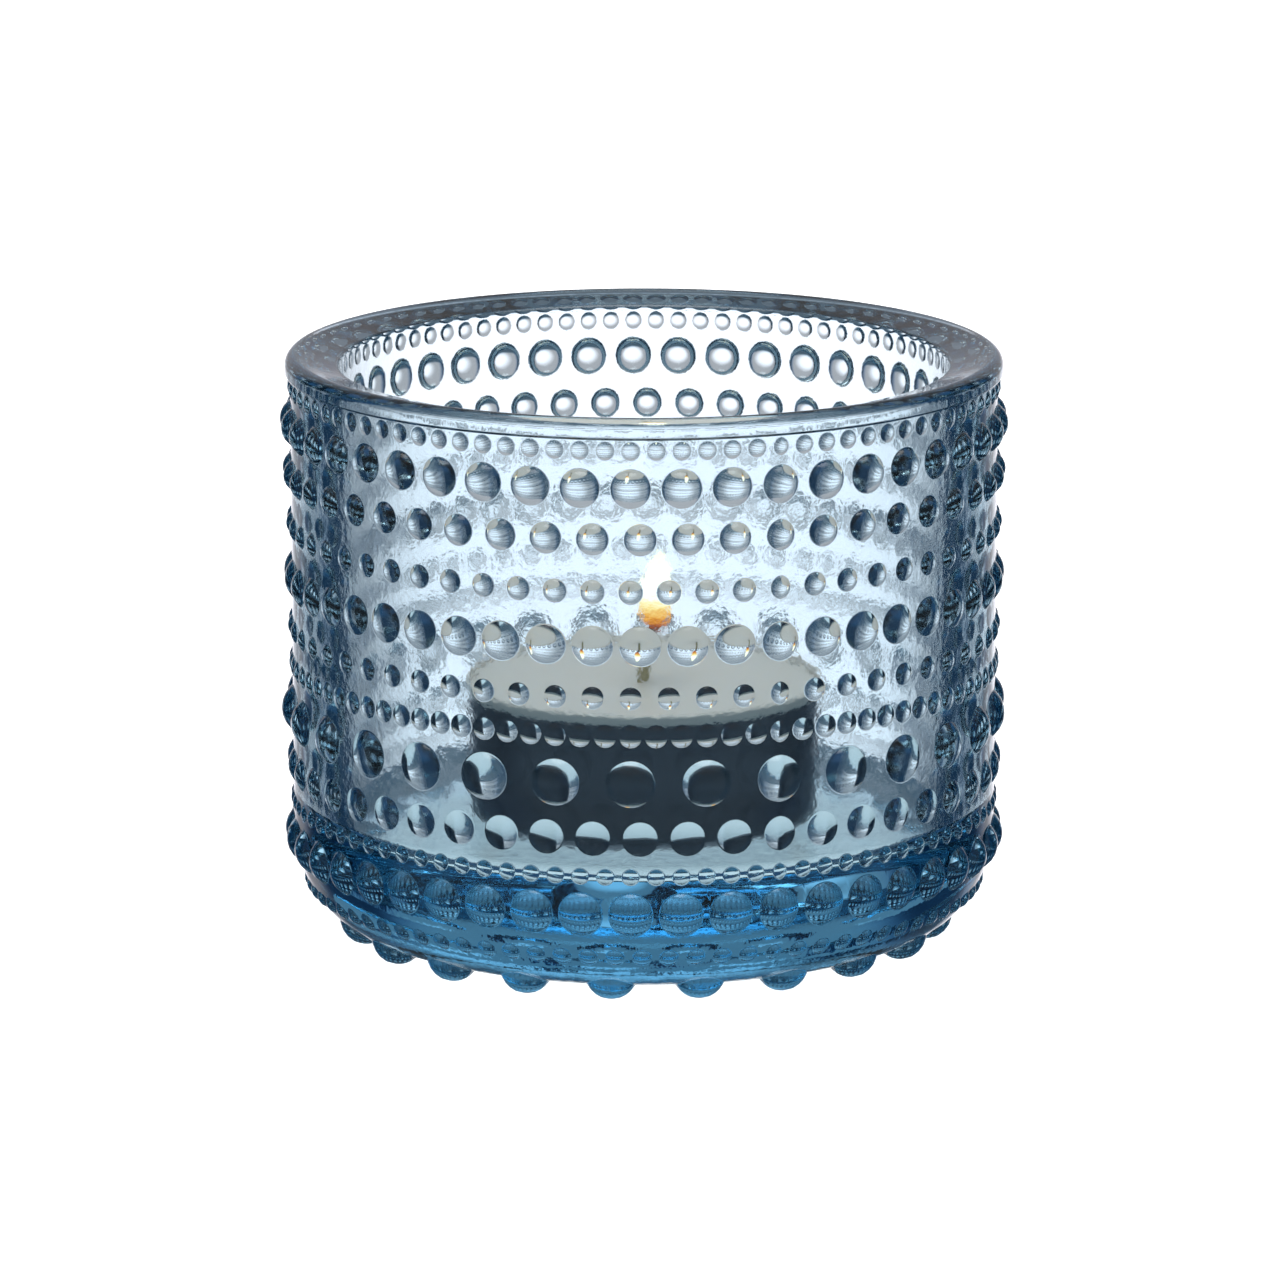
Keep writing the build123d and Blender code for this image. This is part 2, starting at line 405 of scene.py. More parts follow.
def bead_row(build, count, first_angle, ball, middle, dip, guess, edges, cell, rings, seams=0, wear=0):
    """One band of the outside with its beads.

    middle is the radius and height of the balls' middles, dip how far their outward axes dip, and
    guess about how far round a ball its root is. edges are the band's ends as q, cell the segments
    across and up one cell, and seams how many beads lie on a mould seam.
    Returns the lower and the upper edge, each a ring of vertices with its angles.
    """
    across, up = cell
    pitch = TURN / count
    corner_angle = first_angle - pitch / 2
    ring_angles = corner_angle + np.arange(count * across) * pitch / across
    low_ring, high_ring = [
        build.add(*wall_points(np.full(count * across, q), ring_angles)) for q in edges
    ]
    between = np.linspace(*edges, up + 1)[1:-1]
    columns = [
        build.add(*wall_points(between, np.full(up - 1, corner_angle + i * pitch)))
        for i in range(count)
    ]
    turns = cell_turns(across, up)
    for i in range(count):
        angle = first_angle + i * pitch
        axes = bead_axes(angle, dip)
        centre = np.array([middle[0] * cos(angle), middle[0] * sin(angle), middle[1]])
        pinch = SEAM_PINCH if seams and i % (count // seams) == 0 else 0
        roots = root_dips(centre, axes, ball, turns, guess)
        ends = roots - ROOT_FILLET / ball
        tip, bead_rings = bead_cap(build, centre, axes, ball, ends, turns, pinch, wear, rings)
        bead_rings += bead_root(build, centre, axes, ball, roots, turns, pinch, angle, guess)
        build.fan(bead_rings[0], tip)
        for inner, outer in zip(bead_rings, bead_rings[1:]):
            build.bridge(outer, inner)
        build.bridge(cell_border(low_ring, high_ring, columns, i, across, up), bead_rings[-1])
    return (low_ring, ring_angles), (high_ring, ring_angles)


def rim_and_inside():
    """The profile from the ledge under the rim, over the top, down the inside and in to the middle."""
    ledge_top = holder_height - RIM_BAND
    step = RIM_RADIUS - WALL_RADIUS
    ledge = [
        (WALL_RADIUS + 0.05 * step, ledge_top - 0.7 * RIM_LEDGE),
        (WALL_RADIUS + step / 3, ledge_top - 0.3 * RIM_LEDGE),
        (RIM_RADIUS - 0.1 * step, ledge_top),
        (RIM_RADIUS, ledge_top + 0.25 * step),
    ]
    crown_centre = (RIM_RADIUS - RIM_CROWN, holder_height - RIM_CROWN)
    crown = arc(crown_centre, RIM_CROWN, 0, 90 + degrees(RIM_FALL), 11)
    top_end = MOUTH_RADIUS + LIP_ROUND * (1 - sin(RIM_FALL))
    top_drop = (crown[-1, 0] - top_end) * tan(RIM_FALL)
    top_face = np.linspace(crown[-1], (top_end, crown[-1, 1] - top_drop), 6)
    lip_centre = (MOUTH_RADIUS + LIP_ROUND, top_face[-1, 1] - LIP_ROUND * cos(RIM_FALL))
    lip = arc(lip_centre, LIP_ROUND, 90 + degrees(RIM_FALL), 180, 6)
    corner_centre = (FLOOR_RADIUS - FLOOR_CORNER, floor_height + FLOOR_CORNER)
    corner = arc(corner_centre, FLOOR_CORNER, 0, -90, 8)
    wall = np.linspace(lip[-1], corner[0], 9)[1:-1]
    floor = np.linspace(corner[-1], (0, floor_height), 6)[1:-1]
    return np.concatenate([ledge, crown, top_face[1:], lip[1:], wall, corner, floor])


def wall_beads(build):
    """The twelve rows of beads, each with its place as q and the edges of its band."""
    bands = []
    for count, height, width, rise, *cell in BEAD_ROWS:
        margin = ROW_MARGIN if bands else TOP_ROW_MARGIN
        height, width, rise = height * MM, width * MM, rise * MM
        ball = ((width / 2) ** 2 + rise**2) / (2 * rise)
        t = asin(max(WALL_START - height, 0) / BASE_ROUND_HEIGHT)
        radius = FLAT_RADIUS + BASE_ROUND_WIDTH * cos(t)
        dip = atan2(BASE_ROUND_WIDTH * sin(t), BASE_ROUND_HEIGHT * cos(t))
        inset = ball - rise
        middle = (radius - inset * cos(dip), height + inset * sin(dip))
        q = float(outside_place(radius, height))
        edges = (q - width / 2 - margin, q + width / 2 + margin)
        rings = LARGE_BEAD_RINGS if width > LARGE_BEAD else SMALL_BEAD_RINGS
        guess = acos(inset / ball)
        row = bead_row(
            build, count, SEAM_ANGLE, ball, middle, dip, guess, edges, cell, rings, SEAM_COUNT
        )
        bands.append((q, *row))
    return bands


def foot_beads(build):
    """The ring of feet, as a band of its own on the underside, and the band's inner edge as q."""
    inner = float(outside_place(FOOT_RING - FOOT_BALL - FOOT_MARGIN, UNDERSIDE))
    outer = float(outside_place(FOOT_RING + FOOT_BALL + FOOT_BAND_REACH, FOOT_BAND_TOP))
    middle = (FOOT_RING, FOOT_BALL - FOOT_WEAR)
    guess = acos((middle[1] - UNDERSIDE) / FOOT_BALL)
    edges = (inner, outer)
    row = bead_row(
        build, FOOT_COUNT, FOOT_FIRST, FOOT_BALL, middle, pi / 2, guess, edges, FOOT_CELL,
        FOOT_RINGS, wear=FOOT_WEAR,
    )
    return (0.0, *row), inner


def make_glass():
    """The whole bowl as one closed mesh."""
    build = Builder()
    bands = wall_beads(build)
    foot_band, inner = foot_beads(build)
    bands = sorted([*bands, foot_band], key=lambda band: band[0])
    for (_q, _edge, below), (_next_q, above, _next_edge) in zip(bands, bands[1:]):
        build.zip(*below, *above)
    # underside
    ring, angles = bands[0][1]
    for share in UNDERSIDE_SHARES:
        inner_ring = build.ring((FLAT_RADIUS + inner) * share, UNDERSIDE, (0, -1), angles)
        build.bridge(inner_ring, ring)
        ring = inner_ring
    build.fan(ring, build.add_point((0, 0, UNDERSIDE), (0, 0, -1)), flip=True)
    # rim, inside wall and floor
    ring, angles = bands[-1][2]
    profile = rim_and_inside()
    for (radius, height), normal in zip(profile, profile_normals(profile)):
        next_ring = build.ring(radius, height, normal, angles)
        build.bridge(ring, next_ring)
        ring = next_ring
    build.fan(ring, build.add_point((0, 0, floor_height), (0, 0, 1)))
    return build.object("glass")


glass = make_glass()
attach(glass, "holder")
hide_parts("glass_holder")


# ------------------------------------------------------------------ the tealight's cup

CUP_SHEET = 0.3 * MM
CUP_LIP_RADIUS = 19.5 * MM
CUP_WALL_RADIUS = 19.2 * MM
CUP_BASE_RADIUS = 19.0 * MM
CUP_LIP_WIDTH = 0.6 * MM
CUP_LIP_HEIGHT = 1.2 * MM
CUP_LIP_ROUND = 0.28 * MM
CUP_CORNER = 1.0 * MM
CUP_RECESS_RADIUS = 15.5 * MM
CUP_RECESS = 0.4 * MM
cup_top = cup_high[2]


def cup_profile():
    """Under the base, up the outside, over the rolled lip, down the inside and in to the middle."""
    foot = CUP_RECESS_RADIUS + CUP_RECESS
    under = [
        (0, floor_height + CUP_RECESS),
        (CUP_RECESS_RADIUS * 0.5, floor_height + CUP_RECESS),
        (CUP_RECESS_RADIUS - CUP_SHEET, floor_height + CUP_RECESS),
        (CUP_RECESS_RADIUS, floor_height + CUP_RECESS * 0.9),
        (foot - CUP_SHEET * 0.2, floor_height + CUP_RECESS * 0.1),
        (foot + CUP_SHEET, floor_height),
    ]
    corner = (CUP_BASE_RADIUS - CUP_CORNER, floor_height + CUP_CORNER)
    lip_bottom = cup_top - CUP_LIP_HEIGHT
    lip_top = cup_top - CUP_LIP_ROUND
    lip_outer = CUP_LIP_RADIUS - CUP_LIP_ROUND
    lip_inner = CUP_LIP_RADIUS - CUP_LIP_WIDTH + CUP_LIP_ROUND
    wall_foot = np.array((CUP_BASE_RADIUS, floor_height + CUP_CORNER))
    wall_top = np.array((CUP_WALL_RADIUS, lip_bottom))
    sheet = np.array((CUP_SHEET, 0))
    inside = [
        (foot + CUP_SHEET * 0.8, floor_height + CUP_SHEET),
        (CUP_RECESS_RADIUS + CUP_RECESS / 2, floor_height + CUP_SHEET + CUP_RECESS / 2),
        (CUP_RECESS_RADIUS - CUP_SHEET, floor_height + CUP_SHEET + CUP_RECESS),
        (0, floor_height + CUP_SHEET + CUP_RECESS),
    ]
    return np.concatenate([
        under,
        arc(corner, CUP_CORNER, -90, 0, 8),
        np.linspace(wall_foot, wall_top, 12)[1:],
        arc((lip_outer, lip_bottom + CUP_LIP_ROUND), CUP_LIP_ROUND, -90, 0, 5),
        arc((lip_outer, lip_top), CUP_LIP_ROUND, 0, 90, 6),
        arc((lip_inner, lip_top), CUP_LIP_ROUND, 90, 180, 6),
        np.linspace(wall_top - sheet, wall_foot - sheet, 12),
        arc(corner, CUP_CORNER - CUP_SHEET, 0, -90, 7)[1:],
        inside,
    ])


cup = lathe(cup_profile()).object("cup")
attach(cup, "tealight")
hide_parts("tealight_cup")


# ------------------------------------------------------------------ the wax

WAX_GAP = 0.15 * MM
WAX_DISH_DEPTH = 0.5 * MM
WAX_DISH_SHARE = 0.45  # of the wax's radius
WAX_EDGE = 0.3 * MM  # the top edge is rounded over this width
WAX_BORE = 0.95 * MM  # round the wick
WAX_CLIMB = 0.25 * MM  # molten wax climbs the wick
WAX_CLIMB_WIDTH = 0.8 * MM
SUSTAINER_RADIUS = 6.0 * MM
SUSTAINER_ROOM = 0.4 * MM  # height of the hollow over the sustainer
SUSTAINER_SLOPE = 0.1 * MM
wax_bottom = wax_low[2]
wax_top = wax_high[2]
wax_radius = wax_high[0]


def wax_profile():
    """Under the wax, up its side and in over its top, which is hollowed round the wick."""
    base_radius = CUP_BASE_RADIUS - CUP_SHEET - WAX_GAP
    corner = (base_radius - CUP_CORNER, wax_bottom + CUP_CORNER)
    hollow = wax_bottom + SUSTAINER_ROOM
    under = [
        (0, hollow),
        (WAX_BORE, hollow),
        (SUSTAINER_RADIUS - SUSTAINER_SLOPE, hollow),
        (SUSTAINER_RADIUS + SUSTAINER_SLOPE, wax_bottom),
        (base_radius - CUP_CORNER, wax_bottom),
    ]
    side = np.linspace((base_radius, wax_bottom + CUP_CORNER), (wax_radius, wax_top - WAX_EDGE), 6)
    edge = [
        (wax_radius, wax_top - WAX_EDGE * 5 / 6),
        (wax_radius - WAX_EDGE / 5, wax_top - WAX_EDGE * 4 / 15),
    ]
    top_radii = np.linspace(wax_radius - WAX_EDGE, WAX_BORE, 26)
    share = np.minimum(top_radii / wax_radius / WAX_DISH_SHARE, 1)
    dished = wax_top - WAX_DISH_DEPTH * (1 - share**2)
    climb = WAX_CLIMB * np.exp(-(top_radii - WAX_BORE) / WAX_CLIMB_WIDTH)
    return np.concatenate([
        under,
        arc(corner, CUP_CORNER, -80, 0, 6),
        side[1:-1],
        edge,
        np.stack([top_radii, dished + climb], 1),
        [(0, wax_top - WAX_DISH_DEPTH + WAX_CLIMB * 0.8)],
    ])


wax = lathe(wax_profile()).object("wax_body")
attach(wax, "candle")
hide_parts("wax")


# ------------------------------------------------------------------ the wick

WICK_STRAIGHT = 16.5 * MM
WICK_BEND_RADIUS = 4.0 * MM
WICK_BEND = radians(38)
WICK_TIP = 1.3 * MM
WICK_LENGTH = WICK_STRAIGHT + WICK_BEND_RADIUS * WICK_BEND + WICK_TIP
STRAND_COUNT = 3
STRAND_RADIUS = 0.36 * MM
STRAND_OFFSET = 0.31 * MM
STRAND_TURNS = 7
STRAND_FOOT = 0.02 * MM  # the strands start this far up the wick
STRAND_END = 0.25 * MM  # and end this far short of its tip
STRAND_POINTS = 150
STRAND_SIDES = 12
STRAND_UNEVEN = 0.05  # part of its radius by which a strand swells and shrinks
STRAND_UNEVEN_STEP = 9.1  # radians from point to point
BURNT_SHARE = 0.18  # part of the wick's length that is burnt
BURNT_CLOSER = 0.25  # the burnt strands lie this much closer to its middle line
BURNT_THINNER = 0.3


def wick_line(s):
    """Points on the wick's middle line at lengths s from its foot, and its side there."""
    bend_length = WICK_BEND_RADIUS * WICK_BEND
    turned = np.clip((s - WICK_STRAIGHT) / bend_length, 0, 1) * WICK_BEND
    beyond = np.maximum(s - WICK_STRAIGHT - bend_length, 0)
    x = WICK_BEND_RADIUS * (1 - np.cos(turned)) + beyond * np.sin(turned)
    rise = WICK_BEND_RADIUS * np.sin(turned) + beyond * np.cos(turned)
    z = wick_low[2] + np.minimum(s, WICK_STRAIGHT) + rise
    zero = np.zeros_like(s)
    point = np.stack([x, zero, z], 1)
    side = np.stack([np.cos(turned), zero, -np.sin(turned)], 1)
    return point, side


def make_strand(build, phase):
    """One strand of the twisted wick, thinner and closer in towards its burnt end."""
    s = np.linspace(STRAND_FOOT, WICK_LENGTH - STRAND_END, STRAND_POINTS)
    middle, side = wick_line(s)
    forward = np.array([0, 1.0, 0])
    turn = phase + s / WICK_LENGTH * TURN * STRAND_TURNS
    burnt = np.clip((s - (1 - BURNT_SHARE) * WICK_LENGTH) / (BURNT_SHARE * WICK_LENGTH), 0, 1)
    reach = STRAND_OFFSET * (1 - BURNT_CLOSER * burnt)
    sideways = (reach * np.cos(turn))[:, None] * side
    centre = middle + sideways + (reach * np.sin(turn))[:, None] * forward
    ahead = np.gradient(centre, axis=0)
    ahead /= np.linalg.norm(ahead, axis=1)[:, None]
    first = side - (side * ahead).sum(1)[:, None] * ahead
    first /= np.linalg.norm(first, axis=1)[:, None]
    second = np.cross(ahead, first)
    around = np.linspace(0, TURN, STRAND_SIDES, endpoint=False)
    rings = []
    for i in range(STRAND_POINTS):
        uneven = 1 + STRAND_UNEVEN * sin(STRAND_UNEVEN_STEP * i + phase)
        size = STRAND_RADIUS * (1 - BURNT_THINNER * burnt[i]) * uneven
        spread = np.cos(around)[:, None] * first[i] + np.sin(around)[:, None] * second[i]
        rings.append(build.add(centre[i] + size * spread, spread))
    foot = build.add_point(centre[0], -ahead[0])
    tip = build.add_point(centre[-1] + ahead[-1] * STRAND_RADIUS * 0.5, ahead[-1])
    build.close(rings, foot, tip)


wick_build = Builder()
for k in range(STRAND_COUNT):
    make_strand(wick_build, k * TURN / STRAND_COUNT)
wick = wick_build.object("wick_strands")
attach(wick, "candle")
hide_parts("wick")


# ------------------------------------------------------------------ the flame

FLAME_HEIGHT = 9.0 * MM
FLAME_RADIUS = 2.3 * MM
FLAME_FULLNESS = 1.95
FLAME_FOOT_POWER = 0.55  # a lower power makes the foot blunter
FLAME_TIP_POWER = 0.8  # and this one the tip
FLAME_BOW = 0.35 * MM
FLAME_BOW_TURN = pi * 1.3
FLAME_DROP = 1.6 * MM  # it starts a little under the wick's tip
FLAME_INSET = 0.75 * MM  # and a little in from the wick's furthest side
FLAME_POINTS = 40
flame_foot = Vector((wick_high[0] - FLAME_INSET, 0, wick_high[2] - FLAME_DROP))


def make_flame():
    """A drop with its widest part low down, bowed a little to the left."""
    build = Builder()
    around = np.linspace(0, TURN, FLAME_POINTS, endpoint=False)
    shares = (1 - np.cos(np.linspace(0, pi, FLAME_POINTS))) / 2
    rings = []
    for share in shares[1:-1]:
        shape = share**FLAME_FOOT_POWER * (1 - share) ** FLAME_TIP_POWER
        radius = FLAME_RADIUS * shape * FLAME_FULLNESS
        height = flame_foot[2] + FLAME_HEIGHT * share
        rings.append(build.ring(radius, height, (1, 0), around))
        build.points[-1][:, 0] += flame_foot[0] - FLAME_BOW * sin(share * FLAME_BOW_TURN)
    foot = build.add_point(flame_foot, (0, 0, -1))
    tip = build.add_point((flame_foot[0], 0, flame_foot[2] + FLAME_HEIGHT), (0, 0, 1))
    build.close(rings, foot, tip)
    return new_object("flame", np.concatenate(build.points), build.faces)


flame = make_flame()
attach(flame, "candle")


# ------------------------------------------------------------------ materials


def new_material(name):
    """A node material and its nodes, links and Principled shader."""
    material = bpy.data.materials.new(name)
    material.use_nodes = True
    nodes = material.node_tree.nodes
    return material, nodes, material.node_tree.links, nodes["Principled BSDF"]


def bump(nodes, links, source, strength, distance):
    """The normal output of a bump node."""
    node = nodes.new("ShaderNodeBump")
    node.inputs["Strength"].default_value = strength
    node.inputs["Distance"].default_value = distance
    links.new(source, node.inputs["Height"])
    return node.outputs["Normal"]


def object_noise(nodes, links, scale, detail):
    """Noise fixed to the piece, its scale per metre."""
    place = nodes.new("ShaderNodeTexCoord")
    noise = nodes.new("ShaderNodeTexNoise")
    noise.inputs["Scale"].default_value = scale
    noise.inputs["Detail"].default_value = detail
    noise.inputs["Roughness"].default_value = 0.5
    links.new(place.outputs["Object"], noise.inputs["Vector"])
    return noise.outputs["Fac"]


def object_height(nodes, links):
    """Height on the piece, in metres."""
    place = nodes.new("ShaderNodeTexCoord")
    parts = nodes.new("ShaderNodeSeparateXYZ")
    links.new(place.outputs["Object"], parts.inputs[0])
    return parts.outputs["Z"]


def object_reach(nodes, links):
    """Distance from the piece's axis, in metres."""
    place = nodes.new("ShaderNodeTexCoord")
    flat = nodes.new("ShaderNodeVectorMath")
    flat.operation = "MULTIPLY"
    flat.inputs[1].default_value = (1, 1, 0)
    links.new(place.outputs["Object"], flat.inputs[0])
    reach = nodes.new("ShaderNodeVectorMath")
    reach.operation = "LENGTH"
    links.new(flat.outputs[0], reach.inputs[0])
    return reach.outputs["Value"]


def ramp(nodes, links, value, start, end, low=0.0, high=1.0):
    """low up to start, high from end on, and a straight change between them."""
    node = nodes.new("ShaderNodeMapRange")
    node.inputs["From Min"].default_value = start
    node.inputs["From Max"].default_value = end
    node.inputs["To Min"].default_value = low
    node.inputs["To Max"].default_value = high
    links.new(value, node.inputs["Value"])
    return node.outputs[0]


def blend(nodes, links, share, first, second):
    """The first colour where share is 0 and the second where it is 1."""
    node = nodes.new("ShaderNodeMix")
    node.data_type = "RGBA"
    node.inputs["A"].default_value = (*first, 1)
    node.inputs["B"].default_value = (*second, 1)
    links.new(share, node.inputs["Factor"])
    return node.outputs["Result"]


GLASS_INDEX = 1.52
GLASS_PASSES = (0.0, 0.55, 0.76)  # it takes out most of the red and least of the blue
GLASS_DENSITY = 32  # per metre
SHADOW_COLOR = (0.92, 0.96, 0.98)
RIPPLE_DEPTH = 0.026 * MM
RIPPLE_SCALE = 1100  # per metre
RIPPLE_END = 0.1 * MM  # the ripples have faded out this far beyond the wall's outside
RIPPLE_FADE = 3.0 * MM  # and are full this far inside it
SWELL_DEPTH = 0.04 * MM
SWELL_SCALE = 160
SWELL_STRENGTH = 0.5
PLUNGED_ROUGHNESS = 0.1  # the plunger leaves the inside a little less than polished
PLUNGED_REACH = (0.6 * MM, 0.8 * MM)  # beyond the mouth's radius, where the roughness fades


def glass_material():
    """Clear glass that takes the red out of light. Fine ripples on the wall, polished beads."""
    material, nodes, links, shader = new_material("blue glass")
    shader.inputs["Base Color"].default_value = (1, 1, 1, 1)
    shader.inputs["IOR"].default_value = GLASS_INDEX
    shader.inputs["Transmission Weight"].default_value = 1.0
    reach = object_reach(nodes, links)
    start, end = (MOUTH_RADIUS + beyond for beyond in PLUNGED_REACH)
    roughness = ramp(nodes, links, reach, start, end, PLUNGED_ROUGHNESS, 0.0)
    links.new(roughness, shader.inputs["Roughness"])
    swells = object_noise(nodes, links, SWELL_SCALE, 0.0)
    swell = bump(nodes, links, swells, SWELL_STRENGTH, SWELL_DEPTH)
    ripple = nodes.new("ShaderNodeBump")
    ripple.inputs["Distance"].default_value = RIPPLE_DEPTH
    strength = ramp(nodes, links, reach, WALL_RADIUS - RIPPLE_FADE, WALL_RADIUS + RIPPLE_END, 1.0, 0.0)
    links.new(strength, ripple.inputs["Strength"])
    links.new(object_noise(nodes, links, RIPPLE_SCALE, 2.0), ripple.inputs["Height"])
    links.new(swell, ripple.inputs["Normal"])
    links.new(ripple.outputs[0], shader.inputs["Normal"])
    # Light passes to what stands in the glass instead of being stopped as a shadow
    path = nodes.new("ShaderNodeLightPath")
    clear = nodes.new("ShaderNodeBsdfTransparent")
    clear.inputs["Color"].default_value = (*SHADOW_COLOR, 1)
    mix = nodes.new("ShaderNodeMixShader")
    links.new(path.outputs["Is Shadow Ray"], mix.inputs[0])
    links.new(shader.outputs[0], mix.inputs[1])
    links.new(clear.outputs[0], mix.inputs[2])
    output = nodes["Material Output"]
    links.new(mix.outputs[0], output.inputs["Surface"])
    absorb = nodes.new("ShaderNodeVolumeAbsorption")
    absorb.inputs["Color"].default_value = (*GLASS_PASSES, 1)
    absorb.inputs["Density"].default_value = GLASS_DENSITY
    links.new(absorb.outputs[0], output.inputs["Volume"])
    return material


GRAIN_SCALE = 900  # per metre
GRAIN_DEPTH = 0.05 * MM
GRAIN_STRENGTH = 0.2
TIN_COLOR = (0.7, 0.7, 0.7)
TIN_ROUGHNESS = 0.3
# The cup's colour is painted shade: the satin metal is darkened to the shade it stands in.
CUP_PAINTED_SHADE_COLOR = (0.11, 0.12, 0.14)
CUP_ROUGHNESS = 0.2
LIP_HIGHLIGHT_EDGE = 0.05 * MM  # half the height over which the painted highlight on the lip ends
# The wax's pale colour carries painted shade and the flame's painted warm light.
WAX_PAINTED_WARM_SHADE_COLOR = (0.6, 0.58, 0.53)
WAX_ROUGHNESS = 0.35
WAX_TRANSLUCENT = 0.6
WAX_SCATTER = (1.0, 0.8, 0.6)
WAX_SCATTER_DEPTH = 2 * MM
WAX_UNEVEN_SCALE = 180
WAX_UNEVEN_DEPTH = 0.3 * MM
WAX_UNEVEN_STRENGTH = 0.3


def metal_grain(nodes, links, shader):
    """The fine grain of drawn or stamped sheet."""
    grain = object_noise(nodes, links, GRAIN_SCALE, 3.0)
    links.new(bump(nodes, links, grain, GRAIN_STRENGTH, GRAIN_DEPTH), shader.inputs["Normal"])


def sustainer_material():
    """Tinned steel."""
    material, nodes, links, shader = new_material("tinned steel")
    shader.inputs["Base Color"].default_value = (*TIN_COLOR, 1)
    shader.inputs["Metallic"].default_value = 1.0
    shader.inputs["Roughness"].default_value = TIN_ROUGHNESS
    metal_grain(nodes, links, shader)
    return material


def cup_material():
    """Satin metal painted dark with the shade it stands in, its rolled lip painted pale as a
    highlight.
    """
    material, nodes, links, shader = new_material("cup metal")
    lip_bottom = cup_top - CUP_LIP_HEIGHT
    height = object_height(nodes, links)
    # The rolled lip is painted pale in the wax's colour and not metallic: a painted highlight for the
    # light it reflects.
    lip_highlight = ramp(nodes, links, height, lip_bottom - LIP_HIGHLIGHT_EDGE, lip_bottom + LIP_HIGHLIGHT_EDGE)
    links.new(blend(nodes, links, lip_highlight, CUP_PAINTED_SHADE_COLOR, WAX_PAINTED_WARM_SHADE_COLOR), shader.inputs["Base Color"])
    metallic = nodes.new("ShaderNodeMath")
    metallic.operation = "SUBTRACT"
    metallic.inputs[0].default_value = 1.0
    links.new(lip_highlight, metallic.inputs[1])
    links.new(metallic.outputs[0], shader.inputs["Metallic"])
    shader.inputs["Roughness"].default_value = CUP_ROUGHNESS
    metal_grain(nodes, links, shader)
    return material


def wax_material():
    """Slightly translucent white wax with an uneven surface, its colour dimmed and warmed by painted
    shade and painted warm flame light.
    """
    material, nodes, links, shader = new_material("wax")
    shader.inputs["Base Color"].default_value = (*WAX_PAINTED_WARM_SHADE_COLOR, 1)
    shader.inputs["Roughness"].default_value = WAX_ROUGHNESS
    shader.inputs["Subsurface Weight"].default_value = WAX_TRANSLUCENT
    shader.inputs["Subsurface Radius"].default_value = WAX_SCATTER
    shader.inputs["Subsurface Scale"].default_value = WAX_SCATTER_DEPTH
    uneven = object_noise(nodes, links, WAX_UNEVEN_SCALE, 2.0)
    normal = bump(nodes, links, uneven, WAX_UNEVEN_STRENGTH, WAX_UNEVEN_DEPTH)
    links.new(normal, shader.inputs["Normal"])
    return material


WICK_ROUGHNESS = 0.95
WICK_COLOR = (0.42, 0.36, 0.18)
CHAR_COLOR = (0.012, 0.009, 0.008)
CHAR_START = 3.5 * MM  # below the wick's tip
CHAR_FULL = 1.5 * MM
EMBER_COLOR = (1.0, 0.16, 0.02)
EMBER_START = 1.3 * MM
EMBER_FULL = 0.2 * MM
EMBER_STRENGTH = 1.6


def wick_material():
    """Waxed cotton, charred towards the tip, which glows."""
    material, nodes, links, shader = new_material("wick")
    shader.inputs["Roughness"].default_value = WICK_ROUGHNESS
    height = object_height(nodes, links)
    tip = wick_high[2]
    char = ramp(nodes, links, height, tip - CHAR_START, tip - CHAR_FULL)
    links.new(blend(nodes, links, char, WICK_COLOR, CHAR_COLOR), shader.inputs["Base Color"])
    shader.inputs["Emission Color"].default_value = (*EMBER_COLOR, 1)
    ember = ramp(nodes, links, height, tip - EMBER_START, tip - EMBER_FULL, 0.0, EMBER_STRENGTH)
    links.new(ember, shader.inputs["Emission Strength"])
    return material


# Shares of the flame's height and the colours there, its two ends first
FLAME_COLORS = [
    (0.0, (0.1, 0.03, 0.03)),
    (1.0, (1.0, 0.98, 0.7)),
    (0.1, (0.6, 0.13, 0.03)),
    (0.2, (1.0, 0.42, 0.03)),
    (0.34, (1.0, 0.8, 0.3)),
    (0.48, (1.0, 0.97, 0.85)),
]
FLAME_FOOT_STRENGTH = 0.9
FLAME_STRENGTH = 1.5
FLAME_BRIGHTENS = (0.1, 0.5)  # shares of its height between which it brightens


def flame_material():
    """Dark red at the foot, orange, then a bright yellowish white."""
    material, nodes, links, shader = new_material("flame")
    nodes.remove(shader)
    foot = flame_foot[2]
    share = ramp(nodes, links, object_height(nodes, links), foot, foot + FLAME_HEIGHT)
    colors = nodes.new("ShaderNodeValToRGB")
    elements = colors.color_ramp.elements
    for i, (position, color) in enumerate(FLAME_COLORS):
        element = elements[i] if i < 2 else elements.new(position)
        element.position = position
        element.color = (*color, 1)
    links.new(share, colors.inputs["Fac"])
    strength = ramp(nodes, links, share, *FLAME_BRIGHTENS, FLAME_FOOT_STRENGTH, FLAME_STRENGTH)
    emission = nodes.new("ShaderNodeEmission")
    links.new(colors.outputs[0], emission.inputs["Color"])
    links.new(strength, emission.inputs["Strength"])
    links.new(emission.outputs[0], nodes["Material Output"].inputs["Surface"])
    return material


glass.data.materials.append(glass_material())
cup.data.materials.append(cup_material())
wax.data.materials.append(wax_material())
wick.data.materials.append(wick_material())
flame.data.materials.append(flame_material())
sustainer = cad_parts["wick_sustainer"]
sustainer.data.materials.clear()
sustainer.data.materials.append(sustainer_material())


# ------------------------------------------------------------------ the studio

FLOOR_REACH = 6.0
FLOOR_COLOR = 0.9
FLOOR_ROUGHNESS = 0.9
TABLE_GLOW = 0.9  # the table is a sheet of white acrylic lit from below
PLATE_RADIUS = 30 * MM
PLATE_DROP = 0.1 * MM
PLATE_SIDES = 64
PLATE_LEVEL = 1.0
SOFTBOX_PLACE = (0, 0.1, 1.0)
SOFTBOX_AIM = (0, 0, 0.03)
SOFTBOX_WIDTH = 1.2
SOFTBOX_POWER = 2


def staged_polygon(name, corners):
    """One flat face of the studio."""
    mesh = bpy.data.meshes.new(name)
    mesh.from_pydata(corners, [], [tuple(range(len(corners)))])
    obj = bpy.data.objects.new(name, mesh)
    bpy.context.scene.collection.objects.link(obj)
    return obj


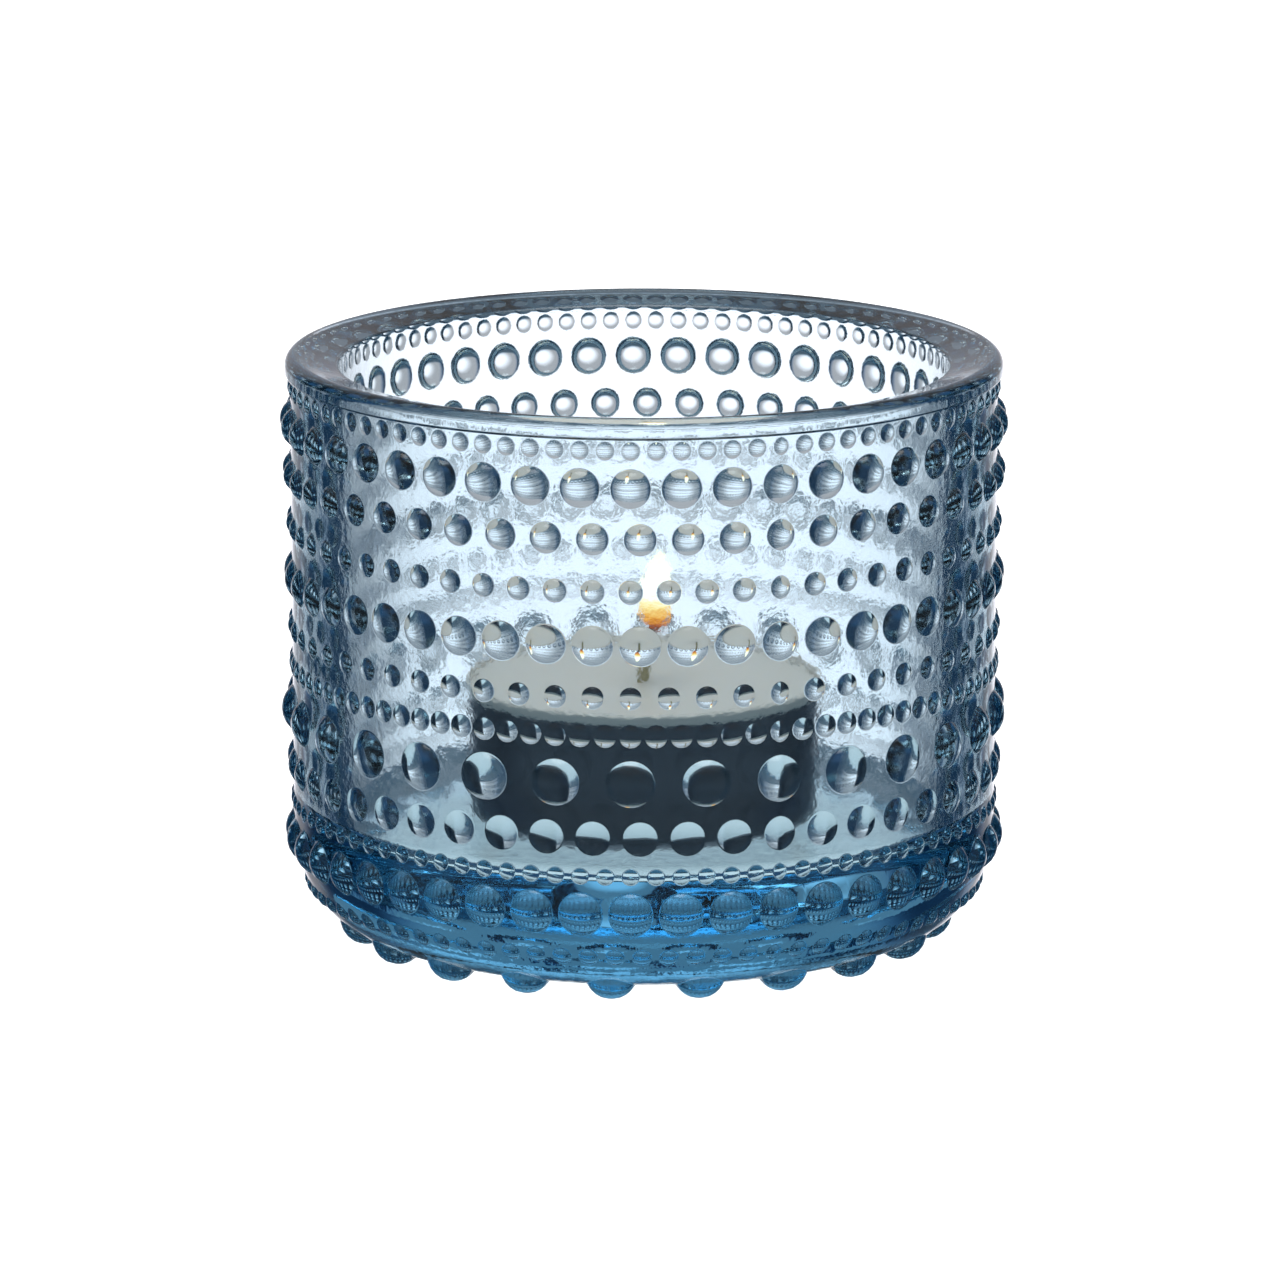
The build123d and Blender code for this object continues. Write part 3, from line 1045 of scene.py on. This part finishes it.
def make_floor():
    """A glowing white table. The glass sees past it to the dark world below."""
    near, far = -FLOOR_REACH, FLOOR_REACH
    corners = [(near, near, 0), (far, near, 0), (far, far, 0), (near, far, 0)]
    floor = staged_polygon("floor", corners)
    material, _nodes, _links, shader = new_material("floor")
    shader.inputs["Base Color"].default_value = (FLOOR_COLOR, FLOOR_COLOR, FLOOR_COLOR, 1)
    shader.inputs["Roughness"].default_value = FLOOR_ROUGHNESS
    shader.inputs["Specular IOR Level"].default_value = 0.0
    shader.inputs["Emission Color"].default_value = (1, 1, 1, 1)
    shader.inputs["Emission Strength"].default_value = TABLE_GLOW
    floor.data.materials.append(material)
    floor.visible_transmission = False
    floor.visible_glossy = False


def make_plate():
    """A lit disc just under the floor. The glass doesn't show the floor, so it shows this."""
    angles = np.linspace(0, TURN, PLATE_SIDES, endpoint=False)
    rim = [(PLATE_RADIUS * cos(a), PLATE_RADIUS * sin(a), -PLATE_DROP) for a in angles]
    plate = staged_polygon("plate", rim)
    material, nodes, links, shader = new_material("plate")
    nodes.remove(shader)
    emission = nodes.new("ShaderNodeEmission")
    emission.inputs["Color"].default_value = (PLATE_LEVEL, PLATE_LEVEL, PLATE_LEVEL, 1)
    links.new(emission.outputs[0], nodes["Material Output"].inputs["Surface"])
    plate.data.materials.append(material)
    plate.visible_diffuse = False


def make_softbox():
    """A square light overhead, aimed at the object and not itself seen in the glass."""
    data = bpy.data.lights.new("overhead", "AREA")
    data.size = SOFTBOX_WIDTH
    data.energy = SOFTBOX_POWER
    lamp = bpy.data.objects.new("overhead", data)
    lamp.location = SOFTBOX_PLACE
    aim = Vector(SOFTBOX_AIM) - Vector(SOFTBOX_PLACE)
    lamp.rotation_euler = aim.to_track_quat("-Z", "Y").to_euler()
    lamp.visible_glossy = False
    lamp.visible_transmission = False
    bpy.context.scene.collection.objects.link(lamp)


make_floor()
make_plate()
make_softbox()


# ------------------------------------------------------------------ what the glass shows of the room

# A lit patch of backdrop low behind it, the rest of the backdrop dimmer round the patch, a dark
# table edge below, blue cards at the sides, a dim room in front and a bright ceiling overhead.
PATCH_LEVEL = 1.42
BACKDROP_LEVEL = 0.5
UPPER_LEVEL = 0.32
BELOW_LEVEL = 0.16
SIDE_LEVEL = 0.07
FRONT_LEVEL = 0.3
OVERHEAD_LEVEL = 3.2
CAMERA_LEVEL = 1.2  # what the camera itself sees of the room
PATCH_AZIMUTH = radians(2.5)
PATCH_HALF_WIDTH = radians(17)
PATCH_HEIGHT = radians(-12)
PATCH_HALF_HEIGHT = radians(12)
PATCH_SOFT = 0.5  # part of the patch's own size over which it fades
BACKDROP_HALF_WIDTH = radians(36)
BACKDROP_SOFT = radians(10)
FRONT_START = radians(90)
BELOW_START = radians(-25)
UPPER_START = radians(30)
OVERHEAD_START = radians(65)
SOFT_EDGE = radians(7)
BACK_TINT = (0.98, 0.965, 1.02)
BELOW_TINT = (0.5, 0.75, 1.0)
SIDE_TINT = (0.16, 0.48, 1.0)
FRONT_TINT = (0.62, 0.82, 1.0)
UPPER_TINT = (1.0, 1.0, 1.0)

world = bpy.data.worlds.new("studio")
bpy.context.scene.world = world
world.use_nodes = True
world_nodes, world_links = world.node_tree.nodes, world.node_tree.links


def world_math(operation, first, second=None):
    """The result of a sum on numbers or sockets."""
    node = world_nodes.new("ShaderNodeMath")
    node.operation = operation
    for socket, value in zip(node.inputs, (first, second)):
        if isinstance(value, (int, float)):
            socket.default_value = value
        elif value is not None:
            world_links.new(value, socket)
    return node.outputs[0]


def soft_step(value, middle, soft, low, high):
    """low before the middle, high after it, and a smooth change over soft on either side."""
    node = world_nodes.new("ShaderNodeMapRange")
    node.interpolation_type = "SMOOTHSTEP"
    world_links.new(value, node.inputs["Value"])
    node.inputs["From Min"].default_value = middle - soft
    node.inputs["From Max"].default_value = middle + soft
    for name, number in (("To Min", low), ("To Max", high)):
        if isinstance(number, (int, float)):
            node.inputs[name].default_value = number
        else:
            world_links.new(number, node.inputs[name])
    return node.outputs[0]


def world_tint(share, first, second):
    """first where share is 0 and second where it is 1, each a colour or a socket."""
    node = world_nodes.new("ShaderNodeMix")
    node.data_type = "RGBA"
    world_links.new(share, node.inputs["Factor"])
    for name, color in (("A", first), ("B", second)):
        if isinstance(color, tuple):
            node.inputs[name].default_value = (*color, 1)
        else:
            world_links.new(color, node.inputs[name])
    return node.outputs["Result"]


def off_patch(azimuth, elevation):
    """Distance from the middle of the patch, as a share of its half width and half height."""
    across = world_math("SUBTRACT", azimuth, PATCH_AZIMUTH)
    up = world_math("SUBTRACT", elevation, PATCH_HEIGHT)
    squares = []
    for off, half in ((across, PATCH_HALF_WIDTH), (up, PATCH_HALF_HEIGHT)):
        share = world_math("ABSOLUTE", world_math("DIVIDE", off, half))
        squares.append(world_math("POWER", share, 2))
    return world_math("SQRT", world_math("ADD", *squares))


def light_world():
    """The room's brightness and colour in every direction."""
    parts = world_nodes.new("ShaderNodeSeparateXYZ")
    world_links.new(world_nodes.new("ShaderNodeTexCoord").outputs["Generated"], parts.inputs[0])
    azimuth = world_math("ARCTAN2", parts.outputs["X"], parts.outputs["Y"])
    elevation = world_math("ARCSINE", parts.outputs["Z"])
    aside = world_math("ABSOLUTE", azimuth)
    past_backdrop = soft_step(aside, BACKDROP_HALF_WIDTH, BACKDROP_SOFT, 0, 1)
    in_front = soft_step(aside, FRONT_START, SOFT_EDGE, 0, 1)
    level = soft_step(past_backdrop, 0.5, 0.5, BACKDROP_LEVEL, SIDE_LEVEL)
    level = soft_step(in_front, 0.5, 0.5, level, FRONT_LEVEL)
    level = soft_step(elevation, BELOW_START, SOFT_EDGE / 2, BELOW_LEVEL, level)
    level = soft_step(elevation, UPPER_START, SOFT_EDGE, level, UPPER_LEVEL)
    level = soft_step(elevation, OVERHEAD_START, SOFT_EDGE, level, OVERHEAD_LEVEL)
    in_patch = soft_step(off_patch(azimuth, elevation), 1, PATCH_SOFT, 1, 0)
    more = world_math("MULTIPLY", in_patch, world_math("SUBTRACT", PATCH_LEVEL, level))
    level = world_math("ADD", level, more)
    below = soft_step(elevation, BELOW_START, SOFT_EDGE / 2, 1, 0)
    above = soft_step(elevation, UPPER_START, SOFT_EDGE, 0, 1)
    tint = world_tint(below, BACK_TINT, BELOW_TINT)
    tint = world_tint(past_backdrop, tint, SIDE_TINT)
    tint = world_tint(in_front, tint, FRONT_TINT)
    tint = world_tint(above, tint, UPPER_TINT)
    shown = world_nodes.new("ShaderNodeVectorMath")
    shown.operation = "SCALE"
    world_links.new(tint, shown.inputs[0])
    world_links.new(level, shown.inputs["Scale"])
    seen = world_nodes.new("ShaderNodeLightPath").outputs["Is Camera Ray"]
    to_camera = (CAMERA_LEVEL, CAMERA_LEVEL, CAMERA_LEVEL)
    backdrop = world_tint(seen, shown.outputs[0], to_camera)
    world_links.new(backdrop, world_nodes["Background"].inputs["Color"])


light_world()
